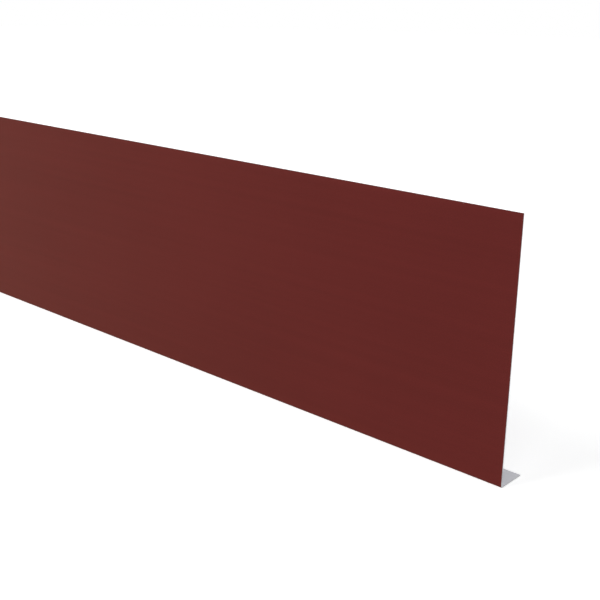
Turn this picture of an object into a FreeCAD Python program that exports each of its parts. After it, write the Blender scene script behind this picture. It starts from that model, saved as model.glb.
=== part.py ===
import FreeCAD, Part
import math
import os

# Verge flashing: one strip of coated steel sheet, folded once along its length.
# The tall face covers the front of a barge board at the edge of a roof, and the
# short flange turns back under the board's lower edge. Both ends are cut square
# and every edge is a plain cut.
#
# X runs along the verge, Y points from the coated face into the board and Z is
# up. The origin lies on the back of the tall face, which is fixed to the board,
# at mid-length and half the face's height. Lengths are in millimetres and
# angles are in degrees.

# Driving dimensions
LENGTH = 2000.0        # stock length along the verge
FACE_HEIGHT = 150.0    # outside, from the fold's underside to the top edge
FLANGE_DEPTH = 20.0    # outside, from the coated face to the flange's free edge
SHEET = 0.5            # thickness of the sheet with its coats
INSIDE_RADIUS = 0.8    # inside of the fold
FOLD_ANGLE = 90.0      # between the inner sides of the face and the flange

ALONG = FreeCAD.Vector(1, 0, 0)
INTO_BOARD = FreeCAD.Vector(0, 1, 0)
UP = FreeCAD.Vector(0, 0, 1)


def outside_line():
    """The coated side in section, from the top edge round the fold to the free edge."""
    turn = math.radians(FOLD_ANGLE)
    along_flange = FreeCAD.Vector(0, math.sin(turn), math.cos(turn))

    # The two outside planes meet at the corner, and the fold cuts it off with a
    # round that leaves each plane one setback away from it.
    corner = -INTO_BOARD * SHEET - UP * FACE_HEIGHT / 2
    radius = INSIDE_RADIUS + SHEET
    setback = radius / math.tan(turn / 2)
    centre = corner + UP * setback + INTO_BOARD * radius
    middle = centre + (corner - centre).normalize() * radius

    top_edge = corner + UP * FACE_HEIGHT
    face_ends = corner + UP * setback
    flange_starts = corner + along_flange * setback
    free_edge = corner + along_flange * FLANGE_DEPTH
    return Part.Wire(
        [
            Part.LineSegment(top_edge, face_ends).toShape(),
            Part.Arc(face_ends, middle, flange_starts).toShape(),
            Part.LineSegment(flange_starts, free_edge).toShape(),
        ]
    )


def folded_sheet():
    """The section is the coated side thickened inwards, drawn out along the verge."""
    section = outside_line().makeOffset2D(-SHEET, fill=True, openResult=True)
    section.translate(-ALONG * LENGTH / 2)
    return section.extrude(ALONG * LENGTH)


os.makedirs("parts", exist_ok=True)
flashing = folded_sheet()
flashing.exportStep("parts/verge_flashing.step")
print("box", flashing.BoundBox, "volume", round(flashing.Volume, 1), "valid", flashing.isValid())
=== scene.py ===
# %% [markdown]
# # A verge flashing
#
# A verge flashing is a strip of coated steel sheet that closes the edge of a roof.
# Its tall face covers the front of the barge board, and a short flange turns back
# under the board's lower edge. It is one sheet, folded once and cut square at both
# ends.
#
# The CAD model holds its real size. This lesson makes what the eye wants on top of
# that: a smooth fold, three finishes on one sheet and a quiet studio. The first step
# loads the CAD model, which stays as it is.

# %% Load the CAD model
import math

import bmesh
import bpy
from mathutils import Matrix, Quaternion, Vector


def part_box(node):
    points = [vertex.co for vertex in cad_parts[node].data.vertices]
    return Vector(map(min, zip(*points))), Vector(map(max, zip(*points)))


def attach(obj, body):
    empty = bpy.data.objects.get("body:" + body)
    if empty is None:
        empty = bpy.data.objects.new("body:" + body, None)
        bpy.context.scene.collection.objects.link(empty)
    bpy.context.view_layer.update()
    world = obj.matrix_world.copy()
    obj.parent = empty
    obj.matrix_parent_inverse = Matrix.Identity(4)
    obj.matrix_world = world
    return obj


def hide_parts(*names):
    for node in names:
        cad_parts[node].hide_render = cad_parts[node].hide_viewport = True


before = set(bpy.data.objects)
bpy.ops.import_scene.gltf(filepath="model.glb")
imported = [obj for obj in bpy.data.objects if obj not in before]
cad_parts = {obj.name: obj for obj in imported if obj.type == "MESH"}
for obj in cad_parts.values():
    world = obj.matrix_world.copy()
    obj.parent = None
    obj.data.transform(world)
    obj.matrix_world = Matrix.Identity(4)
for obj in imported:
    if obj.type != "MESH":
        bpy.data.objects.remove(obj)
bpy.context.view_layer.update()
print("CAD nodes:", sorted(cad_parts))

# %% [markdown]
# ## The sizes of the sheet
#
# The overall sizes are read from the CAD node, so they are never typed twice. Two
# sizes can't be read from a box: how thick the sheet is and how tightly it is folded.
# Coated steel of 0.5 mm is folded round a 0.8 mm inside radius without cracking its
# coat, so the coated side turns at 1.3 mm. Everything is in metres.
#
# A folded sheet is easiest to think of by its coated side alone. In section that is
# a flat run down the face, a quarter turn and a flat run along the flange.

# %% Read the sizes
SHEET = 0.0005
INSIDE_RADIUS = 0.0008
OUTSIDE_RADIUS = INSIDE_RADIUS + SHEET

low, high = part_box("verge_flashing")
length = high.x - low.x
front_y, back_y = low.y, high.y
bottom_z, top_z = low.z, high.z
fold_y = front_y + OUTSIDE_RADIUS
fold_z = bottom_z + OUTSIDE_RADIUS
face_flat = top_z - fold_z
flange_flat = back_y - fold_y
print(f"length {length:.3f}, face flat {face_flat:.4f}, flange flat {flange_flat:.4f}")

# %% [markdown]
# ## The tall face
#
# The sheet could start as a box that is pushed into an L, but that leaves inner faces
# to clean up. Here it starts as it does on a folding machine: flat, as one plane. It
# is stood upright where the coated side of the face lies. Its place, turn and size
# are applied at once, so the mesh holds them and the object stays at the origin.
#
# Everything is deselected first, because an operator works on all that is selected,
# and a freshly loaded model is selected too.

# %% Add the plane and stand it up
QUARTER_TURN = math.radians(90)

bpy.ops.object.select_all(action="DESELECT")
bpy.ops.mesh.primitive_plane_add(
    size=1,
    location=(0, front_y, fold_z + face_flat / 2),
    rotation=(QUARTER_TURN, 0, 0),
)
sheet = bpy.context.active_object
sheet.name = sheet.data.name = "folded_sheet"
sheet.scale = (length, face_flat, 1)
bpy.ops.object.transform_apply(location=True, rotation=True, scale=True)
print("tall face:", [round(size, 4) for size in sheet.dimensions])

# %% [markdown]
# ## Selecting by a test
#
# By hand, an edge is picked with a click. In a script it is picked by what is true of
# it, such as where it lies or which faces it joins. One helper does the clicking: it
# leaves selected only the edges that pass a test. Sums on a computer are never quite
# exact, so points less than a thousandth of a millimetre apart count as one place.

# %% A selecting helper
SAME_PLACE = 1e-6


def select_edges(wanted):
    """In edit mode, leaves selected only the edges that pass the test."""
    bpy.ops.mesh.select_mode(type="EDGE")
    bpy.ops.mesh.select_all(action="DESELECT")
    mesh = bmesh.from_edit_mesh(bpy.context.active_object.data)
    picked = [edge for edge in mesh.edges if wanted(edge)]
    for edge in picked:
        edge.select_set(True)
    bmesh.update_edit_mesh(bpy.context.active_object.data)
    print("edges selected:", len(picked))


def at_height(z):
    """A test for edges that lie at one height."""
    return lambda edge: all(abs(point.co.z - z) < SAME_PLACE for point in edge.verts)


# %% [markdown]
# ## The fold and the flange
#
# Spin does what the folding machine does. It takes the lower edge and turns it a
# quarter round a line that runs along the sheet, and leaves a ring of small faces
# behind it. Sixteen steps of less than six degrees look round even close up. The
# edge that comes out of the spin points straight back, and extruding it gives the
# flange.

# %% Spin the fold and extrude the flange
FOLD_STEPS = 16

bpy.ops.object.mode_set(mode="EDIT")
select_edges(at_height(fold_z))
bpy.ops.mesh.spin(
    steps=FOLD_STEPS,
    angle=QUARTER_TURN,
    center=(0, fold_y, fold_z),
    axis=(-1, 0, 0),
)
select_edges(at_height(bottom_z))
bpy.ops.mesh.extrude_region_move(
    TRANSFORM_OT_translate={"value": (0, flange_flat, 0)}
)

# %% [markdown]
# ## Which side is out
#
# A spin can leave points on top of each other and faces that disagree about their
# outer side. Doubles are merged and the faces made to agree now, while the sheet has
# no thickness, because the next modifier grows away from the side that they show.
# Agreeing isn't enough on an open sheet: it has no inside, so Blender may pick
# either side. The tall face is the judge, and it has to look to the front.

# %% Merge doubles and face the coated side outwards
bpy.ops.mesh.select_all(action="SELECT")
bpy.ops.mesh.remove_doubles(threshold=SAME_PLACE)
bpy.ops.mesh.normals_make_consistent(inside=False)
tall_face = max(bmesh.from_edit_mesh(sheet.data).faces, key=lambda f: f.calc_area())
if tall_face.normal.y > 0:
    bpy.ops.mesh.flip_normals()
print("the tall face looks along y =", round(tall_face.normal.y))
bpy.ops.object.mode_set(mode="OBJECT")

# %% [markdown]
# ## Building a finish
#
# A finish that is one flat colour looks like plastic film. A real coat varies a
# little: in clouds as wide as a hand, in lines that the coating rollers draw along
# the strip, and in a grain as fine as sand. Each of these is a noise at its own size.
#
# Four helpers keep the finishes short. The first starts a material. The second lays a
# noise over any coordinates. The third lays one over Object coordinates, which stay
# on the sheet from every side, and a stretch of less than one along an axis draws the
# noise out along it. The fourth weighs several noises into one number.

# %% Helpers for the finishes
def start_finish(name, **settings):
    """A new material, whose shader gets the settings that are alike all over."""
    finish = bpy.data.materials.new(name)
    finish.use_nodes = True
    shader = finish.node_tree.nodes["Principled BSDF"]
    for socket, value in settings.items():
        shader.inputs[socket.replace("_", " ")].default_value = value
    return finish.node_tree, shader


def add_noise(tree, place, scale, detail=2.0):
    """A noise over the coordinates of place, each multiplied by its scale first."""
    mapping = tree.nodes.new("ShaderNodeMapping")
    mapping.inputs["Scale"].default_value = scale
    noise = tree.nodes.new("ShaderNodeTexNoise")
    noise.inputs["Scale"].default_value = 1.0
    noise.inputs["Detail"].default_value = detail
    tree.links.new(place, mapping.inputs["Vector"])
    tree.links.new(mapping.outputs["Vector"], noise.inputs["Vector"])
    return noise.outputs["Fac"]


def add_spots(tree, size, stretch=(1, 1, 1), detail=2.0):
    """A noise fixed to the object, whose spots are about size metres wide."""
    place = tree.nodes.new("ShaderNodeTexCoord")
    scale = [part / size for part in stretch]
    return add_noise(tree, place.outputs["Object"], scale, detail)


def weigh(tree, *parts):
    """Adds up numbers, each given with its weight."""
    total = None
    for number, weight in parts:
        step = tree.nodes.new("ShaderNodeMath")
        step.operation = "MULTIPLY_ADD"
        step.inputs[1].default_value = weight
        tree.links.new(number, step.inputs[0])
        if total is None:
            step.inputs[2].default_value = 0.0
        else:
            tree.links.new(total, step.inputs[2])
        total = step.outputs["Value"]
    return total


# %% [markdown]
# Three more helpers put such a number to use. One turns it into a colour, by a ramp
# from low to high. One spreads it over another range, such as that of the roughness.
# The last turns it into bumps of a real height, which the light then catches.

# %% Helpers for tones, ranges and bumps
def add_tones(tree, number, tones):
    """A colour ramp: tones is a row of (place from 0 to 1, colour)."""
    ramp = tree.nodes.new("ShaderNodeValToRGB")
    marks = ramp.color_ramp.elements
    while len(marks) < len(tones):
        marks.new(0.5)  # anywhere will do, because each gets its place below
    for mark, (place, colour) in zip(marks, tones):
        mark.position = place
        mark.color = (*colour, 1.0)
    tree.links.new(number, ramp.inputs["Fac"])
    return ramp.outputs["Color"]


def add_range(tree, number, lowest, highest, start=0.0, end=1.0):
    """Spreads a number that runs from start to end over another range."""
    spread = tree.nodes.new("ShaderNodeMapRange")
    spread.inputs["From Min"].default_value = start
    spread.inputs["From Max"].default_value = end
    spread.inputs["To Min"].default_value = lowest
    spread.inputs["To Max"].default_value = highest
    tree.links.new(number, spread.inputs["Value"])
    return spread.outputs["Result"]


def add_bumps(tree, shader, number, height):
    """Bumps as high as height, in metres, where the number goes from 0 to 1."""
    bumps = tree.nodes.new("ShaderNodeBump")
    bumps.inputs["Distance"].default_value = height
    tree.links.new(number, bumps.inputs["Height"])
    tree.links.new(bumps.outputs["Normal"], shader.inputs["Normal"])


# %% [markdown]
# ## The coat on the outside
#
# The outside has a matt polyester coat in oxide red. Its colour hardly varies, so
# the two tones lie close together. What makes it look like paint and not like paper
# is the shine: weak when seen straight on, with a pale haze where the sheet runs away
# from the eye. The shader's own Fresnel effect gives most of that haze. The rest is
# dusty and a little warm, as on any finely rough paint, and a touch of sheen gives
# it. These are alike all over, so they are set on the shader itself.
#
# The grain then makes the roughness uneven and raises bumps of one or two hundredths
# of a millimetre, the fine wrinkles that such a coat gets in the oven.

# %% The oxide red coat
GRAIN = 0.0005
DEEP_RED, LIGHT_RED = (0.1045, 0.0144, 0.0137), (0.1285, 0.0176, 0.0168)

coat, coat_shader = start_finish(
    "oxide_red_coat",
    Specular_IOR_Level=0.06,
    Sheen_Weight=0.05,
    Sheen_Roughness=0.5,
    Sheen_Tint=(1.0, 0.95, 0.1, 1.0),
)
coat_grain = add_spots(coat, size=GRAIN, detail=3.0)
coat_clouds = add_spots(coat, size=0.09)
coat_lines = add_spots(coat, size=0.004, stretch=(0.01, 1, 1))
coat_mix = weigh(coat, (coat_grain, 0.7), (coat_clouds, 0.12), (coat_lines, 0.18))
coat_colour = add_tones(coat, coat_mix, [(0.42, DEEP_RED), (0.58, LIGHT_RED)])
coat_roughness = add_range(coat, coat_grain, lowest=0.48, highest=0.62)
coat.links.new(coat_colour, coat_shader.inputs["Base Color"])
coat.links.new(coat_roughness, coat_shader.inputs["Roughness"])
add_bumps(coat, coat_shader, coat_grain, height=0.00004)
print("coat nodes:", len(coat.nodes))

# %% [markdown]
# ## The coat on the inside
#
# The inside gets only a thin backing coat, pale grey with a breath of blue. It is
# cheaper and shows it: the roller lines are stronger and the clouds are too. It is a
# little glossier than the outside.

# %% The grey backing coat
DEEP_GREY, LIGHT_GREY = (0.575, 0.575, 0.622), (0.635, 0.635, 0.682)

backing, backing_shader = start_finish("grey_backing_coat", Specular_IOR_Level=0.3)
backing_grain = add_spots(backing, size=GRAIN, detail=3.0)
backing_clouds = add_spots(backing, size=0.03, detail=3.0)
backing_lines = add_spots(backing, size=0.0025, stretch=(0.008, 1, 1), detail=3.0)
backing_mix = weigh(
    backing, (backing_grain, 0.3), (backing_clouds, 0.35), (backing_lines, 0.35)
)
backing_colour = add_tones(backing, backing_mix, [(0.4, DEEP_GREY), (0.6, LIGHT_GREY)])
backing_roughness = add_range(backing, backing_clouds, lowest=0.38, highest=0.55)
backing.links.new(backing_colour, backing_shader.inputs["Base Color"])
backing.links.new(backing_roughness, backing_shader.inputs["Roughness"])
add_bumps(backing, backing_shader, backing_mix, height=0.00002)
print("backing nodes:", len(backing.nodes))

# %% [markdown]
# ## The cut edge
#
# Shears leave an edge that tells its own story. The blade first pushes into the sheet
# and leaves a bright, smooth band, and then the rest of the steel tears and leaves a
# dull, rough one. A thin line of zinc shows under each coat. All of it runs along the
# edge, and scratches of the blade run across it.
#
# Such a pattern has to follow the edge wherever it goes, up the ends and along the
# top, so it can't be placed by Object coordinates. It reads a UV map that a later
# step draws: along the edge in metres one way, and from the coated side to the
# backing from 0 to 1 the other way. The scratches blur the bands a little, by adding
# to the depth at which each place is read.

# %% The sheared edge
SCRATCH = 0.0002
EDGE_TONES = [
    (0.14, (0.66, 0.68, 0.70)),  # zinc under the outer coat
    (0.22, (0.46, 0.46, 0.47)),  # the sheared band begins
    (0.46, (0.52, 0.52, 0.53)),
    (0.54, (0.27, 0.27, 0.27)),  # the torn band begins
    (0.92, (0.33, 0.33, 0.33)),
    (1.00, (0.62, 0.64, 0.66)),  # zinc under the backing coat
]

cut, cut_shader = start_finish("sheared_steel_edge", Metallic=1.0)
edge_place = cut.nodes.new("ShaderNodeUVMap")
edge_place.uv_map = "blank"
edge_split = cut.nodes.new("ShaderNodeSeparateXYZ")
cut.links.new(edge_place.outputs["UV"], edge_split.inputs["Vector"])
scratches = add_noise(cut, edge_place.outputs["UV"], scale=(1 / SCRATCH, 1.5, 1))
edge_depth = weigh(cut, (edge_split.outputs["Y"], 1.0), (scratches, 0.16))
edge_colour = add_tones(cut, edge_depth, EDGE_TONES)
edge_roughness = add_range(cut, edge_depth, lowest=0.28, highest=0.62)
cut.links.new(edge_colour, cut_shader.inputs["Base Color"])
cut.links.new(edge_roughness, cut_shader.inputs["Roughness"])
add_bumps(cut, cut_shader, scratches, height=0.000004)
print("cut edge nodes:", len(cut.nodes))

# %% [markdown]
# ## The thickness
#
# The Solidify modifier makes the flat skin a real sheet. Its offset of -1 grows the
# sheet away from the coated side, so the outside stays where the CAD has it, and even
# thickness keeps the fold as thick as the flats. It can also give the new inner side
# and the rim the next materials in the list. That paints the sheet by which side a
# face is on, and no face is missed.

# %% Give the sheet its thickness and its three finishes
COAT, BACKING, CUT = range(3)
for name in ("oxide_red_coat", "grey_backing_coat", "sheared_steel_edge"):
    sheet.data.materials.append(bpy.data.materials[name])


def count_faces():
    """How many faces wear the coat, the backing and the cut."""
    worn = [face.material_index for face in sheet.data.polygons]
    return [worn.count(finish) for finish in (COAT, BACKING, CUT)]


solidify = sheet.modifiers.new("thickness", "SOLIDIFY")
solidify.thickness = SHEET
solidify.offset = -1.0
solidify.use_even_offset = True
solidify.material_offset = BACKING
solidify.material_offset_rim = CUT
bpy.ops.object.modifier_apply(modifier=solidify.name)
print("faces of coat, backing and cut:", count_faces())

# %% [markdown]
# ## The coats roll over the corners
#
# No cut corner is perfectly sharp. The shears drag each coat a few hundredths of a
# millimetre over the corner, so a hair of paint shows from the edge, and the corner
# catches a thin line of light. A bevel of that width gives both. The edges to bevel
# are those between a coat and the cut.
#
# Two steps are enough for so small a corner. Bevel gives each step the finish of the
# face beside it, so the coat ends in the middle of the turn. Each step also leans
# clearly to one side, where of three steps the middle one would stand at 45 degrees,
# and a program that unwraps the sheet by the way its faces look would cut it off as
# specks.

# %% Round the corners beside the cut
CORNER = 0.00004


def between(first, second):
    """A test for edges that join a face of one finish to a face of another."""
    both = {first, second}
    return lambda edge: {face.material_index for face in edge.link_faces} == both


bpy.ops.object.mode_set(mode="EDIT")
for finish in (COAT, BACKING):
    select_edges(between(finish, CUT))
    bpy.ops.mesh.bevel(offset=CORNER, segments=2)
bpy.ops.object.mode_set(mode="OBJECT")
print("faces of coat, backing and cut:", count_faces())

# %% [markdown]
# ## Smooth where it bends, flat where it is flat
#
# Smooth shading blends the light from one face to the next. On the fold that is
# wanted, but the tall face would take some of the blend too and look dented along its
# lower edge. The Weighted Normal modifier lets a large face keep its own direction,
# so the small faces of the fold and the corners do all the turning, and at its
# highest weight no small face has a say on a large one. The two steps of a corner
# meet at 45 degrees, so the limit for a smooth turn is set above that.

# %% Shade the sheet
SMOOTH_TURN = math.radians(60)
HIGHEST_WEIGHT = 100

bpy.ops.object.shade_smooth_by_angle(angle=SMOOTH_TURN)
weighted = sheet.modifiers.new("flat_faces_stay_flat", "WEIGHTED_NORMAL")
weighted.keep_sharp = True
weighted.weight = HIGHEST_WEIGHT
bpy.ops.object.modifier_apply(modifier=weighted.name)
loose = [edge for edge in sheet.data.edges if edge.is_loose]
print("loose edges:", len(loose))

# %% [markdown]
# ## A map of the flat blank
#
# Before it was folded, the sheet was a flat strip, the blank. Any point of the folded
# sheet has a place on it: how far along, how far round the section and how deep below
# the coated side. Working that back out takes three cases: the point is on the tall
# face, on the flange or on the fold between them.
#
# The two coats get a map of the blank as it lay flat. On a cut edge the map runs
# along the edge and across the thickness, as the finish of the cut expects. A cut
# face that looks along the sheet is at an end, and any other is on a long edge.

# %% Draw the map
def on_blank(point):
    """(Distance round the section from the fold's start, depth from 0 to 1)."""
    if point.z >= fold_z:
        return fold_z - point.z, (point.y - front_y) / SHEET
    if point.y >= fold_y:
        arc = OUTSIDE_RADIUS * QUARTER_TURN
        return arc + point.y - fold_y, (point.z - bottom_z) / SHEET
    reach = math.hypot(point.y - fold_y, point.z - fold_z)
    turn = math.atan2(fold_z - point.z, fold_y - point.y)
    return OUTSIDE_RADIUS * turn, (OUTSIDE_RADIUS - reach) / SHEET


blank = sheet.data.uv_layers.new(name="blank")
for face in sheet.data.polygons:
    at_an_end = abs(face.normal.x) > 0.5
    for corner in face.loop_indices:
        point = sheet.data.vertices[sheet.data.loops[corner].vertex_index].co
        girth, depth = on_blank(point)
        if face.material_index != CUT:
            blank.uv[corner].vector = (point.x, girth)
        elif at_an_end:
            blank.uv[corner].vector = (girth, depth)
        else:
            blank.uv[corner].vector = (point.x, depth)
print("map corners:", len(blank.uv))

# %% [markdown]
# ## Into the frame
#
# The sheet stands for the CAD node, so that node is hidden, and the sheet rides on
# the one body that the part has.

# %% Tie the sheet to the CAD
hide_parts("verge_flashing")
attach(sheet, "root")

# %% [markdown]
# ## White that lights nothing
#
# The picture has a white ground. More light would bleach the paint too, so the white
# is added only for rays that are looked along: those from the camera, from a
# mirror-like surface and through glass. The Light Path node tells them apart. For
# every other ray the floor and the air stay as pale or as dim as they are.

# %% Helpers for rays that are looked along
WHITE = (1.0, 1.0, 1.0, 1.0)


def combine(tree, operation, first, second):
    """One number from two, such as the larger one or their product."""
    step = tree.nodes.new("ShaderNodeMath")
    step.operation = operation
    tree.links.new(first, step.inputs[0])
    tree.links.new(second, step.inputs[1])
    return step.outputs["Value"]


def seen_directly(tree):
    """1 for rays from the camera, from a reflection or through glass, else 0."""
    path = tree.nodes.new("ShaderNodeLightPath")
    seen = path.outputs["Is Camera Ray"]
    for kind in ("Is Glossy Ray", "Is Transmission Ray"):
        seen = combine(tree, "MAXIMUM", seen, path.outputs[kind])
    return seen


# %% [markdown]
# ## The floor
#
# The sheet stands on a plain floor, which gives the paint its light from below and
# takes the soft shadow of the flange. A square floor would show its corners in some
# views, so it is a disc. It lies a tenth of a millimetre below the sheet, because two
# faces in one plane would fight over which is seen.

# %% The floor
FLOOR_RADIUS = 4.0
FLOOR_GAP = 0.0001

bpy.ops.object.select_all(action="DESELECT")
bpy.ops.mesh.primitive_circle_add(
    vertices=96,
    radius=FLOOR_RADIUS,
    fill_type="NGON",
    location=(0, 0, bottom_z - FLOOR_GAP),
)
floor = bpy.context.active_object
floor.name = "floor"
print("floor at", round(floor.location.z, 4))

# %% [markdown]
# ## The floor's finish
#
# The floor is a pale, dull grey. Near the sheet a little over half of full white is
# added to it, so the ground looks white and the shadow still shows. Far from the
# sheet the lamps are weak, and the floor would end in a grey line before the white
# air. So the added white grows towards the rim, where nothing casts a shadow, and
# floor and air meet without a line.

# %% The pale floor
FLOOR_LIFT = 0.58

floor_tree, floor_shader = start_finish(
    "pale_floor",
    Base_Color=(0.8, 0.8, 0.8, 1.0),
    Roughness=1.0,
    Specular_IOR_Level=0.0,
    Emission_Color=WHITE,
)
floor_place = floor_tree.nodes.new("ShaderNodeTexCoord")
floor_reach = floor_tree.nodes.new("ShaderNodeVectorMath")
floor_reach.operation = "LENGTH"
floor_tree.links.new(floor_place.outputs["Object"], floor_reach.inputs[0])
floor_lift = add_range(
    floor_tree,
    floor_reach.outputs["Value"],
    lowest=FLOOR_LIFT,
    highest=1.0,
    start=FLOOR_RADIUS / 2,
    end=FLOOR_RADIUS,
)
floor_white = combine(floor_tree, "MULTIPLY", seen_directly(floor_tree), floor_lift)
floor_tree.links.new(floor_white, floor_shader.inputs["Emission Strength"])
floor.data.materials.append(bpy.data.materials["pale_floor"])
print("floor nodes:", len(floor_tree.nodes))

# %% [markdown]
# ## The air
#
# Whoever looks past the floor sees full white. To the paint the air is only a tenth
# as bright, a faint glow from all sides that keeps the shaded places from going
# black.

# %% The air round the floor
AIR = 0.1

world = bpy.data.worlds.new("white_air")
bpy.context.scene.world = world
world.use_nodes = True
air = world.node_tree
air_strength = add_range(air, seen_directly(air), lowest=AIR, highest=1.0)
air.links.new(air_strength, air.nodes["Background"].inputs["Strength"])
air.nodes["Background"].inputs["Color"].default_value = WHITE
print("air level:", AIR)

# %% [markdown]
# ## Three soft lamps
#
# The paint is matt and evenly lit, so the lamps are wide and stand well back. One
# stands in front on the left, a weaker one in front on the right, and one behind, so
# that the inside of the sheet is lit as well when it is looked at from there. Each is
# turned to face the middle of the sheet.

# %% Lamps
LAMP_SIZE = 3.5


def add_lamp(name, place, watts):
    """A square lamp that faces the middle of the sheet."""
    bpy.ops.object.light_add(type="AREA", location=place)
    lamp = bpy.context.active_object
    lamp.name = name
    lamp.data.size = LAMP_SIZE
    lamp.data.energy = watts
    lamp.rotation_euler = (-Vector(place)).to_track_quat("-Z", "Y").to_euler()


add_lamp("front_left_lamp", (-1.9, -3.4, 3.4), 202)
add_lamp("front_right_lamp", (3.1, -3.7, 1.8), 88)
add_lamp("rear_lamp", (-0.5, 5.0, 2.4), 160)

# %% [markdown]
# ## The camera
#
# The camera stands close to the right end and looks along the sheet, so the far end
# leaves the picture on the left. Its place is given as a photographer would: the
# point it looks at, how far round and how high it stands, and how far off. The
# sheet's edges in the picture fix all of these, and they also show that the camera
# was tilted sideways by a little under one degree, which one last turn about its own
# axis gives.

# %% Place the camera
AIM = Vector((0.8533, 0.0, -0.0031))
AZIMUTH = math.radians(42.22)
ELEVATION = math.radians(18.05)
DISTANCE = 0.6022
TILT = math.radians(0.75)
LENS = 59.76

towards_camera = Vector(
    (
        math.sin(AZIMUTH) * math.cos(ELEVATION),
        -math.cos(AZIMUTH) * math.cos(ELEVATION),
        math.sin(ELEVATION),
    )
)
bpy.ops.object.camera_add(location=AIM + towards_camera * DISTANCE)
camera = bpy.context.active_object
camera.data.lens = LENS
turn = (-towards_camera).to_track_quat("-Z", "Y") @ Quaternion((0, 0, 1), TILT)
camera.rotation_euler = turn.to_euler()
bpy.context.scene.camera = camera
bpy.context.scene.view_settings.view_transform = "Standard"
print("camera at", [round(v, 3) for v in camera.location])
